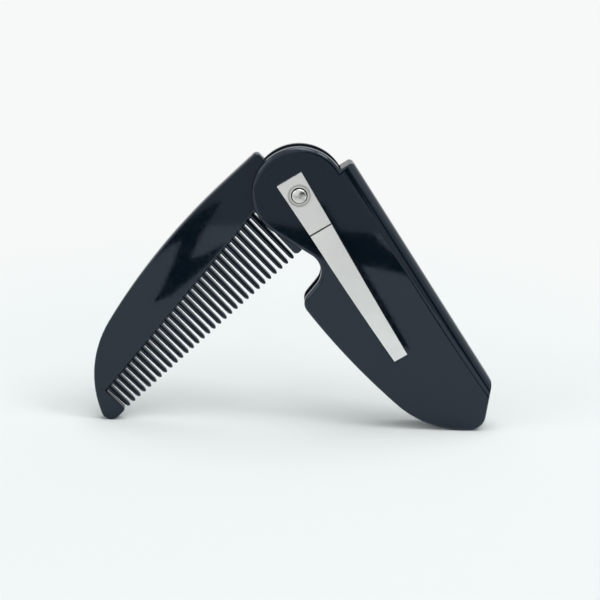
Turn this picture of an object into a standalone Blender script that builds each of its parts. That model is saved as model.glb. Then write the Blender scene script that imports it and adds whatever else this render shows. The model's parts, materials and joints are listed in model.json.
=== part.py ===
"""Folding beard comb.

A one-piece comb turns on a rivet between the two walls of a one-piece handle case, and folds teeth first
into the slot between them. A tapered spring-steel pocket clip is held on the front wall by the same rivet,
which is closed over a washer behind.

Every piece is drawn folded, with the rivet's axis through the origin: +X runs along the handle away from
the rivet, +Z towards the handle's rounded back, and -Y is the front, the clip's side. The comb is then
opened, and the whole is stood on its two ends, as it is seen in use on a table.
"""
import math

import bmesh
import bpy
import numpy as np
from mathutils import Matrix, Vector

MM = 0.001

# Handle case
DISC_RADIUS = 14.05 * MM           # round head of the case about the rivet
LUG_HEIGHT = 4.3 * MM              # step from that head up to the back, which stops the open comb
CASE_THICKNESS = 8.0 * MM
SLOT_WIDTH = 3.8 * MM
RIM_ROUNDING = 1.2 * MM            # outer edges of both walls
BACK_ROUNDING = 4.3 * MM           # how far the round back reaches in from its crown
BACK_FLAT = 1.6 * MM               # flat left along that crown
BACK_WALL = 2.1 * MM               # plastic left between the slot and the crown
LUG_FACE = 0.2 * MM                # end face of the lug, past the rivet's centre line
LUG_CORNER = 1.5 * MM
LUG_BLOCK = 4.6 * MM               # solid length of the lug, where no slot runs
SLOT_CORNER = 1.2 * MM
POCKET_RELIEF = 0.25 * MM          # slot's round end outside the case's round head

# The case's open edge
EDGE_LEVEL = 18.4 * MM             # its straight run, below the rivet
STRAIGHT_RUN = 14.0 * MM           # from the rivet's centre line, also of the comb's back
SWEEP_TURN = math.radians(14.85)   # how far the gentle curve turns inwards
NOSE_RADIUS = 31.85 * MM
POINT_REACH = 98.4 * MM            # furthest point of the nose curve from the rivet
END_LENGTH = 14.35 * MM            # from where the slanted end leaves the back to that point
END_SLANT = math.radians(39.5)     # of the end's edge to the handle's length
END_CORNER_BACK = 2.2 * MM
END_CORNER_OPEN = 5.0 * MM

# Thumb notch in the case's open edge
NECK_ANGLE = math.radians(-65.0)   # where the notch's edge leaves the round head
NOTCH_RADIUS = 6.4 * MM
NOTCH_WALL = math.radians(-70.0)   # heading of the notch's steep side
NOTCH_REACH = 27.7 * MM            # that side's place, where it crosses NOTCH_LEVEL
NOTCH_LEVEL = 13.2 * MM            # below the handle's centre line
LOBE_CORNER = 4.0 * MM

# Comb
COMB_THICKNESS = 3.2 * MM
HUB_CLEARANCE = 0.4 * MM           # hub inside the case's round head
SPINE_INSET = 0.38 * MM            # comb's back inside the case's open edge, where its sweep starts
SPINE_LEAN = math.radians(-1.6)    # of its straight run, to the comb's length
SPINE_TURN = math.radians(13.75)   # where its sweep runs into the nose
SPINE_NOSE_RADIUS = 36.9 * MM
NOSE_PROUD = 0.2 * MM              # nose past POINT_REACH
SHOULDER_FACE = 0.2 * MM           # face that meets the lug when the comb is straight
SHOULDER_CORNER = 1.4 * MM
COMB_EDGE = 0.6 * MM               # rounding of the comb's edges
TIP_CORNER = 3.0 * MM
END_GUARD_LEVEL = 11.8 * MM        # straight end of the guard tooth, above the centre line
END_GUARD_CORNER = 1.2 * MM
HUB_GUARD_WIDTH = 3.3 * MM
HUB_GUARD_LEVEL = 13.4 * MM
HUB_GUARD_CORNER = 1.3 * MM

# Teeth
TOOTH_PITCH = 2.37 * MM
GAP_WIDTH = 0.56 * MM              # between neighbours at their roots
FIRST_GAP = 14.2 * MM              # from the rivet, at the hub's end
LAST_GUARD = 9.9 * MM              # least width of the end guard at its root
TOOTH_LEAN = math.radians(2.4)     # towards the nose
ROOT_LEVEL_HUB = -4.6 * MM         # roots above the centre line at FIRST_GAP
ROOT_LEVEL_END = 3.4 * MM          # and at the end guard
TIP_LEVEL_HUB = 13.8 * MM
TIP_LEVEL_END = 12.0 * MM
ROOT_DEPTH = 2.7 * MM              # tooth thickness through the comb
TIP_DEPTH = 1.8 * MM
TIP_THINNING = 0.45 * MM           # width lost from root to tip
RIDGE_WIDTH = 0.5 * MM             # flat along the crown of a tooth
FLANK_SHARE = 0.62                 # upright side between a tooth's front and rear bevels, of its depth
TIP_ROUNDING = 1.6 * MM            # length of the rounded tip
ROOT_POCKET = 0.5 * MM             # thin web past the comb's body, before the gaps open
ROOT_WEB = 1.0 * MM                # thickness of that web
ROOT_EMBED = 1.6 * MM              # foot of a tooth behind its root

# Pocket clip
CLIP_THICKNESS = 0.9 * MM
CLIP_TOP = 5.8 * MM                # rivet to the square top edge
CLIP_BEND = 12.3 * MM              # rivet to the crease
CLIP_REACH = 60.5 * MM             # rivet to the tip
CLIP_WIDTH_TOP = 8.4 * MM
CLIP_WIDTH_TIP = 4.5 * MM
CLIP_BOW = 1.5 * MM                # how far the tongue stands off halfway
CLIP_EDGE = 0.15 * MM
CLIP_TURN = math.radians(-1.05)    # the clip sits slightly askew about its rivet
RING_INNER = 3.0 * MM              # plain coined ring round the rivet's head
RING_OUTER = 3.45 * MM
RING_DEPTH = 0.12 * MM

# Rivet and washer
SHANK_RADIUS = 1.5 * MM
HEAD_RADIUS = 2.15 * MM
HEAD_HEIGHT = 0.85 * MM
HEAD_RIM = 0.25 * MM
TAIL_RADIUS = 2.2 * MM
TAIL_HEIGHT = 0.7 * MM
TAIL_ROLL = 0.35 * MM              # rounding of the rolled tail
TAIL_BORE = 0.8 * MM               # hollow of the semi-tubular tail
TAIL_BORE_DEPTH = 1.6 * MM
WASHER_RADIUS = 3.4 * MM
WASHER_THICKNESS = 0.6 * MM
WASHER_EDGE = 0.12 * MM

# Fits
SEAT_GAP = 0.25 * MM               # between pieces that lie on each other
RUNNING_GAP = 0.10 * MM            # round the rivet's shank
OVERRUN = 3.0 * MM                 # how far cutters pass the faces they cut
ARC_SAG = 0.02 * MM                # most that a straight facet falls inside its arc

# Pose
OPEN_ANGLE = math.radians(77.55)   # of the comb from its folded drawing
TILT_LOW = math.radians(-80.0)     # search range for the standing tilt
TILT_HIGH = math.radians(-30.0)

BACK_LEVEL = DISC_RADIUS + LUG_HEIGHT
COMB_REACH = POINT_REACH + NOSE_PROUD
FRONT = Vector((0.0, -1.0, 0.0))


def clear_scene():
    """Start from an empty file."""
    for item in list(bpy.data.objects):
        bpy.data.objects.remove(item, do_unlink=True)


def heading(angle):
    """Unit vector in the drawing plane."""
    return np.array([math.cos(angle), math.sin(angle)])


def left_of(direction):
    """The direction turned a quarter to the left."""
    return np.array([-direction[1], direction[0]])


def arc(centre, radius, start, end):
    """Points along an arc, start and end angles included; it turns left where end is larger."""
    step = 2.0 * math.acos(1.0 - min(ARC_SAG / radius, 0.5))
    count = max(2, math.ceil(abs(end - start) / step))
    angles = np.linspace(start, end, count + 1)
    return [np.array(centre) + radius * heading(angle) for angle in angles]


def corner_arc(corner, arriving, leaving, radius):
    """Arc that rounds the corner between two straight runs with these headings."""
    turn = math.remainder(leaving - arriving, 2.0 * math.pi)
    side = math.copysign(1.0, turn)
    start = corner - heading(arriving) * radius * math.tan(abs(turn) / 2.0)
    centre = start + side * left_of(heading(arriving)) * radius
    first = arriving - side * math.pi / 2.0
    return arc(centre, radius, first, first + turn)


def crossing(point_a, angle_a, point_b, angle_b):
    """Where two lines cross."""
    along_a, along_b = heading(angle_a), heading(angle_b)
    across = left_of(along_b)
    distance = np.dot(point_b - point_a, across) / np.dot(along_a, across)
    return point_a + along_a * distance


def circle_crossing(point, angle, centre, radius, side):
    """Where a line crosses a circle; side +1 takes the crossing further along the line."""
    along = heading(angle)
    middle = np.dot(centre - point, along)
    offset = np.dot(centre - point, left_of(along))
    half_chord = math.sqrt(max(radius * radius - offset * offset, 0.0))
    return point + along * (middle + side * half_chord)


def angle_of(vector):
    """Polar angle of a vector in the drawing plane."""
    return math.atan2(vector[1], vector[0])


class EdgeCurve:
    """The long curve of the case's open edge or of the comb's back.

    A straight run, a gentle sweep and a tighter nose, each tangent to the last. The lean and the turn are the
    headings before and after the sweep, and the reach is the nose's furthest point from the rivet.
    """

    def __init__(self, level, lean, turn, nose_radius, reach):
        run = reach - nose_radius * (1.0 - math.sin(turn)) - STRAIGHT_RUN
        self.lean = lean
        self.join = turn - math.pi / 2.0
        self.run_end = np.array([STRAIGHT_RUN, -level])
        self.sweep_radius = run / (math.sin(turn) - math.sin(lean))
        self.nose_radius = nose_radius
        self.sweep_centre = self.run_end + left_of(heading(lean)) * self.sweep_radius
        self.nose_centre = self.sweep_centre + heading(self.join) * (self.sweep_radius - nose_radius)

    def run_point(self, x):
        """Point of the straight run at this distance from the rivet."""
        return crossing(self.run_end, self.lean, np.array([x, 0.0]), math.pi / 2.0)

    def sweep(self, start):
        """Sweep from a polar angle about its own centre up to the nose."""
        return arc(self.sweep_centre, self.sweep_radius, start, self.join)

    def nose(self, end):
        """Nose from the end of the sweep to a polar angle about its own centre."""
        return arc(self.nose_centre, self.nose_radius, self.join, end)[1:]

    def nose_corner(self, point, angle, radius):
        """Round the corner where the nose meets a straight edge that leaves it with this heading.

        Returns the polar angle at which the nose stops, and the corner's points.
        """
        inside = point + left_of(heading(angle)) * radius
        centre = circle_crossing(inside, angle, self.nose_centre, self.nose_radius - radius, -1.0)
        stop = angle_of(centre - self.nose_centre)
        last = angle - math.pi / 2.0
        return stop, arc(centre, radius, stop, last + (2.0 * math.pi if last < stop else 0.0))


def case_outline():
    """Outline of the case's walls, counter-clockwise from the lug's outer corner."""
    edge = EdgeCurve(EDGE_LEVEL, 0.0, SWEEP_TURN, NOSE_RADIUS, POINT_REACH)
    lug = corner_arc(np.array([LUG_FACE, BACK_LEVEL]), math.pi, 1.5 * math.pi, LUG_CORNER)
    foot = math.acos(LUG_FACE / DISC_RADIUS)
    head = arc((0.0, 0.0), DISC_RADIUS, foot, 2.0 * math.pi + NECK_ANGLE)

    neck_heading = NECK_ANGLE + math.pi / 2.0
    wall_point = np.array([NOTCH_REACH, -NOTCH_LEVEL])
    notch_corner = crossing(head[-1], neck_heading, wall_point, NOTCH_WALL)
    notch = corner_arc(notch_corner, neck_heading, NOTCH_WALL, NOTCH_RADIUS)

    inside = wall_point + left_of(heading(NOTCH_WALL)) * LOBE_CORNER
    lobe_centre = circle_crossing(inside, NOTCH_WALL, edge.sweep_centre, edge.sweep_radius - LOBE_CORNER, 1.0)
    lobe_end = angle_of(lobe_centre - edge.sweep_centre)
    lobe = arc(lobe_centre, LOBE_CORNER, NOTCH_WALL - math.pi / 2.0, lobe_end)

    end_heading = math.pi - END_SLANT
    end_point = np.array([POINT_REACH - END_LENGTH, BACK_LEVEL])
    stop, open_corner = edge.nose_corner(end_point, end_heading, END_CORNER_OPEN)
    back_corner = corner_arc(end_point, end_heading, math.pi, END_CORNER_BACK)
    return (lug + head + notch + lobe + edge.sweep(lobe_end)[1:] + edge.nose(stop)
            + open_corner[1:] + back_corner)


def slot_outline():
    """Outline of the slot between the walls: open on every side but the back and the lug."""
    pocket = DISC_RADIUS + POCKET_RELIEF
    floor = BACK_LEVEL - BACK_WALL
    far = POINT_REACH + OVERRUN
    low = -EDGE_LEVEL - OVERRUN
    step_start = math.acos(LUG_BLOCK / pocket)
    floor_corner = corner_arc(np.array([LUG_BLOCK, floor]), math.pi, 1.5 * math.pi, SLOT_CORNER)
    head = arc((0.0, 0.0), pocket, step_start, math.pi)
    return ([np.array([far, floor])] + floor_corner + head
            + [np.array([-pocket, low]), np.array([far, low])])


def gap_line(number):
    """Middle of a gap between teeth on the centre line, counted from the hub."""
    return FIRST_GAP + number * TOOTH_PITCH


def fine_teeth():
    """How many fine teeth fit between the two guards."""
    room = COMB_REACH - LAST_GUARD - FIRST_GAP - TIP_LEVEL_END * math.tan(TOOTH_LEAN)
    return int(room / TOOTH_PITCH)


def level_line(at_hub, at_end, x):
    """Height on the straight line from the first gap to the last."""
    span = fine_teeth() * TOOTH_PITCH
    return at_hub + (at_end - at_hub) * (x - FIRST_GAP) / span


def comb_outline(pocket=0.0):
    """Outline of the comb with both guard teeth, counter-clockwise from the shoulder.

    The roots between the guards are set back by the depth of the pockets.
    """
    edge = EdgeCurve(EDGE_LEVEL - SPINE_INSET, SPINE_LEAN, SPINE_TURN, SPINE_NOSE_RADIUS, COMB_REACH)
    hub_radius = DISC_RADIUS - HUB_CLEARANCE
    up = math.pi / 2.0 - TOOTH_LEAN
    half_gap = GAP_WIDTH / 2.0
    root_slope = math.atan2(ROOT_LEVEL_END - ROOT_LEVEL_HUB, fine_teeth() * TOOTH_PITCH)
    root_point = np.array([FIRST_GAP, ROOT_LEVEL_HUB - pocket])

    shoulder = corner_arc(edge.run_point(SHOULDER_FACE), -math.pi / 2.0, SPINE_LEAN, SHOULDER_CORNER)
    stop, tip = edge.nose_corner(np.array([COMB_REACH, END_GUARD_LEVEL]), math.pi, TIP_CORNER)

    end_side = np.array([gap_line(fine_teeth()) + half_gap, 0.0])
    end_top = crossing(end_side, up, np.array([0.0, END_GUARD_LEVEL]), 0.0)
    end_root = crossing(end_side, up, root_point, root_slope)
    end_corner = corner_arc(end_top, math.pi, up + math.pi, END_GUARD_CORNER)

    hub_side = np.array([gap_line(0) - half_gap, 0.0])
    hub_root = crossing(hub_side, up, root_point, root_slope)
    hub_top = crossing(hub_side, up, np.array([0.0, HUB_GUARD_LEVEL]), 0.0)
    inner_corner = corner_arc(hub_top, up, math.pi, HUB_GUARD_CORNER)
    outer_top = hub_top - np.array([HUB_GUARD_WIDTH, 0.0])
    outer_corner = corner_arc(outer_top, math.pi, up + math.pi, HUB_GUARD_CORNER)
    hub_meet = circle_crossing(outer_top, up + math.pi, np.zeros(2), hub_radius, -1.0)

    shoulder_foot = -math.acos(SHOULDER_FACE / hub_radius)
    hub = arc((0.0, 0.0), hub_radius, angle_of(hub_meet), 2.0 * math.pi + shoulder_foot)
    return (shoulder + edge.sweep(SPINE_LEAN - math.pi / 2.0) + edge.nose(stop) + tip[1:] + end_corner
            + [end_root, hub_root] + inner_corner + outer_corner + hub)


def turned(point, angle):
    """A drawing point turned counter-clockwise about the rivet, as seen from the front."""
    return point[0] * math.sin(angle) + point[1] * math.cos(angle)


def lowest(outline, angle):
    """Height of an outline's lowest point below the rivet once it is turned."""
    return min(turned(point, angle) for point in outline)


def standing_tilt():
    """Tilt of the case at which its end and the comb's nose reach equally low."""
    case, comb = case_outline(), comb_outline()
    low, high = TILT_LOW, TILT_HIGH
    while high - low > math.radians(0.0001):
        middle = (low + high) / 2.0
        if lowest(case, middle) < lowest(comb, middle - OPEN_ANGLE):
            low = middle
        else:
            high = middle
    return (low + high) / 2.0


def new_object(name, mesh_builder):
    """Finish a bmesh as a named object with outward faces."""
    bmesh.ops.recalc_face_normals(mesh_builder, faces=mesh_builder.faces)
    mesh = bpy.data.meshes.new(name)
    mesh_builder.to_mesh(mesh)
    mesh_builder.free()
    item = bpy.data.objects.new(name, mesh)
    bpy.context.collection.objects.link(item)
    return item


def extruded(name, outline, front, back, rim=0.0, rim_steps=3):
    """Plate with this outline from y = front to y = back, its outer rims rounded by rim."""
    builder = bmesh.new()
    verts = [builder.verts.new((x, front, z)) for x, z in outline]
    face = builder.faces.new(verts)
    result = bmesh.ops.extrude_face_region(builder, geom=[face])
    moved = [item for item in result["geom"] if isinstance(item, bmesh.types.BMVert)]
    bmesh.ops.translate(builder, verts=moved, vec=(0.0, back - front, 0.0))
    if rim:
        middle = (front + back) / 2.0
        rims = [edge for edge in builder.edges
                if (edge.verts[0].co.y - middle) * (edge.verts[1].co.y - middle) > 0.0]
        bmesh.ops.bevel(builder, geom=rims, offset=rim, segments=rim_steps, profile=0.5,
                        affect='EDGES', clamp_overlap=False)
    return new_object(name, builder)


def revolved(name, profile, steps):
    """Turn a profile of (radius, y) points about the rivet's axis into one closed body."""
    builder = bmesh.new()
    verts = [builder.verts.new((radius, y, 0.0)) for radius, y in profile]
    edges = [builder.edges.new(pair) for pair in zip(verts, verts[1:])]
    if profile[0][0] > 0.0:
        edges.append(builder.edges.new((verts[-1], verts[0])))
    bmesh.ops.spin(builder, geom=verts + edges, cent=(0.0, 0.0, 0.0), axis=(0.0, 1.0, 0.0),
                   angle=2.0 * math.pi, steps=steps, use_merge=True)
    bmesh.ops.remove_doubles(builder, verts=builder.verts, dist=ARC_SAG / 20.0)
    return new_object(name, builder)


def rod(name, radius, front, back):
    """Round cutter along the rivet's axis."""
    circle = arc((0.0, 0.0), radius, 0.0, 2.0 * math.pi)[:-1]
    return extruded(name, circle, front, back)


def boolean(target, cutter, operation):
    """Add a boolean modifier whose cutter stays as a hidden guide."""
    modifier = target.modifiers.new(cutter.name, 'BOOLEAN')
    modifier.operation = operation
    modifier.solver = 'EXACT'
    modifier.object = cutter
    cutter.parent = target
    cutter.hide_render = True
    cutter.display_type = 'WIRE'


def material(name, color, roughness, metallic):
    """Principled material with a linear base colour."""
    finish = bpy.data.materials.new(name)
    finish.use_nodes = True
    shader = finish.node_tree.nodes["Principled BSDF"]
    shader.inputs["Base Color"].default_value = (*color, 1.0)
    shader.inputs["Roughness"].default_value = roughness
    shader.inputs["Metallic"].default_value = metallic
    return finish


def dress(item, finish):
    """Give a piece its material and smooth shading."""
    item.data.materials.append(finish)
    item.data.shade_smooth()
    item.data.set_sharp_from_angle(angle=math.radians(35.0))


def back_cutter(name, side):
    """Cutter that rounds one long corner of the case's back to a quarter ellipse; side is -1 or +1."""
    half = CASE_THICKNESS / 2.0
    crown = BACK_FLAT / 2.0
    base = BACK_LEVEL - BACK_ROUNDING
    outside = half + OVERRUN
    angles = np.linspace(0.0, math.pi / 2.0, 9)
    section = [(side * (crown + (half - crown) * math.cos(angle)), base + BACK_ROUNDING * math.sin(angle))
               for angle in angles]
    section += [(side * crown, BACK_LEVEL + OVERRUN), (side * outside, BACK_LEVEL + OVERRUN),
                (side * outside, base)]
    builder = bmesh.new()
    start = LUG_FACE - OVERRUN
    face = builder.faces.new([builder.verts.new((start, y, z)) for y, z in section])
    result = bmesh.ops.extrude_face_region(builder, geom=[face])
    moved = [item for item in result["geom"] if isinstance(item, bmesh.types.BMVert)]
    bmesh.ops.translate(builder, verts=moved, vec=(POINT_REACH + OVERRUN - start, 0.0, 0.0))
    return new_object(name, builder)


def make_case():
    """One black moulding: two walls joined along the rounded back, with the lug and the thumb notch."""
    half = CASE_THICKNESS / 2.0
    case = extruded("case", case_outline(), -half, half, RIM_ROUNDING)
    for name, side in (("case_back_front", -1.0), ("case_back_rear", 1.0)):
        boolean(case, back_cutter(name, side), 'DIFFERENCE')
    slot = extruded("case_slot", slot_outline(), -SLOT_WIDTH / 2.0, SLOT_WIDTH / 2.0)
    boolean(case, slot, 'DIFFERENCE')
    hole = rod("case_hole", SHANK_RADIUS + RUNNING_GAP, -half - OVERRUN, half + OVERRUN)
    boolean(case, hole, 'DIFFERENCE')
    return case


def tooth_ring(centre, across, width, depth):
    """Eight-sided section of a tooth: a narrow crown, bevelled flanks and upright sides."""
    half, crown, deep = width / 2.0, min(RIDGE_WIDTH, width) / 2.0, depth / 2.0
    side = deep * FLANK_SHARE
    corners = ((half, side), (crown, deep), (-crown, deep), (-half, side),
               (-half, -side), (-crown, -deep), (crown, -deep), (half, -side))
    return [(centre[0] + across[0] * w, y, centre[1] + across[1] * w) for w, y in corners]


def add_tooth(builder, number):
    """Loft one fine tooth from inside the comb's body to its rounded tip."""
    up = heading(math.pi / 2.0 - TOOTH_LEAN)
    across = -left_of(up)
    foot = np.array([gap_line(number) + TOOTH_PITCH / 2.0, 0.0])
    root = level_line(ROOT_LEVEL_HUB, ROOT_LEVEL_END, foot[0])
    tip = level_line(TIP_LEVEL_HUB, TIP_LEVEL_END, foot[0])
    root_width = TOOTH_PITCH - GAP_WIDTH
    tip_width = root_width - TIP_THINNING
    rounding = [(1.0 - math.cos(angle), math.sin(angle)) for angle in (1.15, 0.75, 0.35)]
    rings = [(root - ROOT_EMBED, root_width, ROOT_DEPTH), (tip - TIP_ROUNDING, tip_width, TIP_DEPTH)]
    rings += [(tip - TIP_ROUNDING * drop, tip_width * size, TIP_DEPTH * size) for drop, size in rounding]
    loops = [[builder.verts.new(corner) for corner in tooth_ring(foot + up * level, across, width, depth)]
             for level, width, depth in rings]
    builder.faces.new(loops[0])
    for lower, upper in zip(loops, loops[1:]):
        for index in range(len(lower)):
            following = (index + 1) % len(lower)
            builder.faces.new((lower[index], lower[following], upper[following], upper[index]))
    builder.faces.new(loops[-1])


def web_outline():
    """Outline of the thin web along the roots, reaching into the body and both guards."""
    start, end = FIRST_GAP - GAP_WIDTH, gap_line(fine_teeth()) + GAP_WIDTH
    levels = [level_line(ROOT_LEVEL_HUB, ROOT_LEVEL_END, x) for x in (start, end)]
    return [np.array([start, levels[0] - ROOT_EMBED]), np.array([end, levels[1] - ROOT_EMBED]),
            np.array([end, levels[1]]), np.array([start, levels[0]])]


def make_comb():
    """One black moulding: hub, back, two guard teeth and the row of fine teeth."""
    half = COMB_THICKNESS / 2.0
    comb = extruded("comb", comb_outline(ROOT_POCKET), -half, half, COMB_EDGE, 2)
    boolean(comb, extruded("comb_web", web_outline(), -ROOT_WEB / 2.0, ROOT_WEB / 2.0), 'UNION')
    builder = bmesh.new()
    for number in range(fine_teeth()):
        add_tooth(builder, number)
    teeth = new_object("comb_teeth", builder)
    boolean(comb, teeth, 'UNION')
    hole = rod("comb_hole", SHANK_RADIUS + RUNNING_GAP, -half - OVERRUN, half + OVERRUN)
    boolean(comb, hole, 'DIFFERENCE')
    return comb


def clip_width(x):
    """Width of the evenly tapered strip at a distance from the rivet."""
    share = (x + CLIP_TOP) / (CLIP_REACH + CLIP_TOP)
    return CLIP_WIDTH_TOP + (CLIP_WIDTH_TIP - CLIP_WIDTH_TOP) * share


def clip_stand_off(x):
    """How far the strip's rear face stands off its seat: flat to the crease, then one even bow."""
    if x <= CLIP_BEND:
        return 0.0
    share = (x - CLIP_BEND) / (CLIP_REACH - CLIP_BEND)
    return 4.0 * CLIP_BOW * share * (1.0 - share)


def make_clip():
    """Tapered spring-steel strip, flat under the rivet, creased, and bowed back to the case at its tip."""
    rear = -CASE_THICKNESS / 2.0 - SEAT_GAP
    stations = [-CLIP_TOP] + list(np.linspace(CLIP_BEND, CLIP_REACH, 13))
    builder = bmesh.new()
    loops = []
    for x in stations:
        half = clip_width(x) / 2.0
        inner = rear - clip_stand_off(x)
        outer = inner - CLIP_THICKNESS
        corners = ((outer, -half), (outer, half), (inner, half), (inner, -half))
        loops.append([builder.verts.new((x, y, z)) for y, z in corners])
    builder.faces.new(loops[0])
    builder.faces.new(loops[-1])
    for lower, upper in zip(loops, loops[1:]):
        for index in range(4):
            following = (index + 1) % 4
            builder.faces.new((lower[index], lower[following], upper[following], upper[index]))
    long_edges = [edge for edge in builder.edges if edge.calc_face_angle(0.0) > math.radians(60.0)]
    bmesh.ops.bevel(builder, geom=long_edges, offset=CLIP_EDGE, segments=1, affect='EDGES',
                    clamp_overlap=False)
    clip = new_object("clip", builder)
    hole = rod("clip_hole", SHANK_RADIUS + RUNNING_GAP, rear - CLIP_THICKNESS - OVERRUN, rear + OVERRUN)
    boolean(clip, hole, 'DIFFERENCE')
    face = rear - CLIP_THICKNESS
    ring = revolved("clip_ring", [(RING_INNER, face + RING_DEPTH), (RING_OUTER, face + RING_DEPTH),
                                  (RING_OUTER, face - OVERRUN), (RING_INNER, face - OVERRUN)], 48)
    boolean(clip, ring, 'DIFFERENCE')
    return clip


def make_rivet():
    """Semi-tubular rivet: domed head on the clip, shank through the comb's hub, rolled tail behind."""
    seat_front = -CASE_THICKNESS / 2.0 - SEAT_GAP - CLIP_THICKNESS - SEAT_GAP
    seat_rear = CASE_THICKNESS / 2.0 + SEAT_GAP + WASHER_THICKNESS + SEAT_GAP
    rim = seat_front - HEAD_RIM
    dome = HEAD_HEIGHT - HEAD_RIM
    profile = [(HEAD_RADIUS * math.sin(angle), rim - dome * math.cos(angle))
               for angle in np.linspace(0.0, math.pi / 2.0, 7)]
    profile += [(HEAD_RADIUS, seat_front), (SHANK_RADIUS, seat_front), (SHANK_RADIUS, seat_rear)]
    roll_centre = TAIL_RADIUS - TAIL_ROLL
    end = seat_rear + TAIL_HEIGHT
    profile += [(TAIL_RADIUS, seat_rear)]
    profile += [(roll_centre + TAIL_ROLL * math.cos(angle), end - TAIL_ROLL + TAIL_ROLL * math.sin(angle))
                for angle in np.linspace(0.0, math.pi / 2.0, 4)]
    profile += [(TAIL_BORE, end), (TAIL_BORE, end - TAIL_BORE_DEPTH), (0.0, end - TAIL_BORE_DEPTH)]
    return revolved("rivet", profile, 32)


def make_washer():
    """Flat steel washer that spreads the rolled tail's load on the rear wall."""
    front = CASE_THICKNESS / 2.0 + SEAT_GAP
    rear = front + WASHER_THICKNESS
    bore = SHANK_RADIUS + RUNNING_GAP
    profile = [(bore, front), (WASHER_RADIUS, front), (WASHER_RADIUS, rear - WASHER_EDGE),
               (WASHER_RADIUS - WASHER_EDGE, rear), (bore, rear)]
    return revolved("rivet_washer", profile, 32)


def guide(name, parent=None):
    """An empty that carries other pieces."""
    item = bpy.data.objects.new(name, None)
    bpy.context.collection.objects.link(item)
    item.parent = parent
    return item


def world_bounds(items):
    """Lowest and highest corner of these pieces as they are evaluated."""
    bpy.context.view_layer.update()
    graph = bpy.context.evaluated_depsgraph_get()
    points = []
    for item in items:
        evaluated = item.evaluated_get(graph)
        points += [evaluated.matrix_world @ vertex.co for vertex in evaluated.data.vertices]
    table = np.array(points)
    return table.min(axis=0), table.max(axis=0)


def build():
    """Model the pieces, open the comb and stand the part on its two ends."""
    clear_scene()
    plastic = material("black_plastic", (0.012, 0.013, 0.015), 0.12, 0.0)
    comb_plastic = material("comb_plastic", (0.012, 0.013, 0.015), 0.12, 0.0)
    strip = material("clip_steel", (0.52, 0.52, 0.50), 0.32, 1.0)
    bright = material("rivet_steel", (0.60, 0.60, 0.59), 0.22, 1.0)
    plated = material("washer_steel", (0.56, 0.56, 0.55), 0.30, 1.0)

    case, comb, clip = make_case(), make_comb(), make_clip()
    rivet, washer = make_rivet(), make_washer()
    for item, finish in ((case, plastic), (comb, comb_plastic), (clip, strip), (rivet, bright),
                         (washer, plated)):
        dress(item, finish)

    stand = guide("stand")
    handle = guide("handle", stand)
    hinge = guide("comb_hinge", handle)
    handle.matrix_local = Matrix.Rotation(standing_tilt(), 4, FRONT)
    hinge.matrix_local = Matrix.Rotation(-OPEN_ANGLE, 4, FRONT)
    clip.matrix_local = Matrix.Rotation(CLIP_TURN, 4, FRONT)
    for item in (case, clip, rivet, washer):
        item.parent = handle
    comb.parent = hinge

    low, high = world_bounds((case, comb, clip, rivet, washer))
    stand.location = (-(low[0] + high[0]) / 2.0, -(low[1] + high[1]) / 2.0, -low[2])
    bpy.context.view_layer.update()


build()
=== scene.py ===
"""Looks of the folding beard comb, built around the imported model."""
import json
import math

import bmesh
import bpy
import numpy as np
from mathutils import Matrix, Vector


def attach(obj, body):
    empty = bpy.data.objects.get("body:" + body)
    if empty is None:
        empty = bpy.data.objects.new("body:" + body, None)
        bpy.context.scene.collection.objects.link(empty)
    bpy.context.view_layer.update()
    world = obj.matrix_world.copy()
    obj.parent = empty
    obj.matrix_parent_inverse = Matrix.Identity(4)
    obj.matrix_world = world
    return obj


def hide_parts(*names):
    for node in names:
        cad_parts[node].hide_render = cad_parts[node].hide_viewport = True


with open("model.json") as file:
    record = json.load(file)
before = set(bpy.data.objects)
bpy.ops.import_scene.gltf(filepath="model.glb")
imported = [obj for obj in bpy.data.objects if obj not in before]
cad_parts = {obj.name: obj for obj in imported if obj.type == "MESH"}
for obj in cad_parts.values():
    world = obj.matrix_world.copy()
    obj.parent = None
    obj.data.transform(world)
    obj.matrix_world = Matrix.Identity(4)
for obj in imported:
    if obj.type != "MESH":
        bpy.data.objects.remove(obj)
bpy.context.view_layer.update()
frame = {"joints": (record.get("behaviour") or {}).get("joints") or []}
scene = bpy.context.scene
scene.view_settings.view_transform = 'Standard'


# Camera: the photograph is taken from a little left of the rivet, looking 20 degrees down from 0.39 m away.
MM = 0.001
CAMERA_PLACE = Vector((-6.86, -374.79, 177.97)) * MM
CAMERA_DOWN = math.radians(20.014)
CAMERA_ASIDE = math.radians(1.259)       # towards the right of straight ahead
CAMERA_ROLL = math.radians(1.868)
CAMERA_FILM = 36.0
CAMERA_LENS = 78.06                      # for a film of this width

camera = bpy.data.objects.new("camera", bpy.data.cameras.new("camera"))
scene.collection.objects.link(camera)
camera.data.sensor_width = CAMERA_FILM
camera.data.lens = CAMERA_LENS
camera.location = CAMERA_PLACE
look = (Matrix.Rotation(-CAMERA_ASIDE, 4, 'Z') @ Matrix.Rotation(math.pi / 2.0 - CAMERA_DOWN, 4, 'X')
        @ Matrix.Rotation(CAMERA_ROLL, 4, 'Z'))
camera.rotation_euler = look.to_euler()
scene.camera = camera


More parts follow.
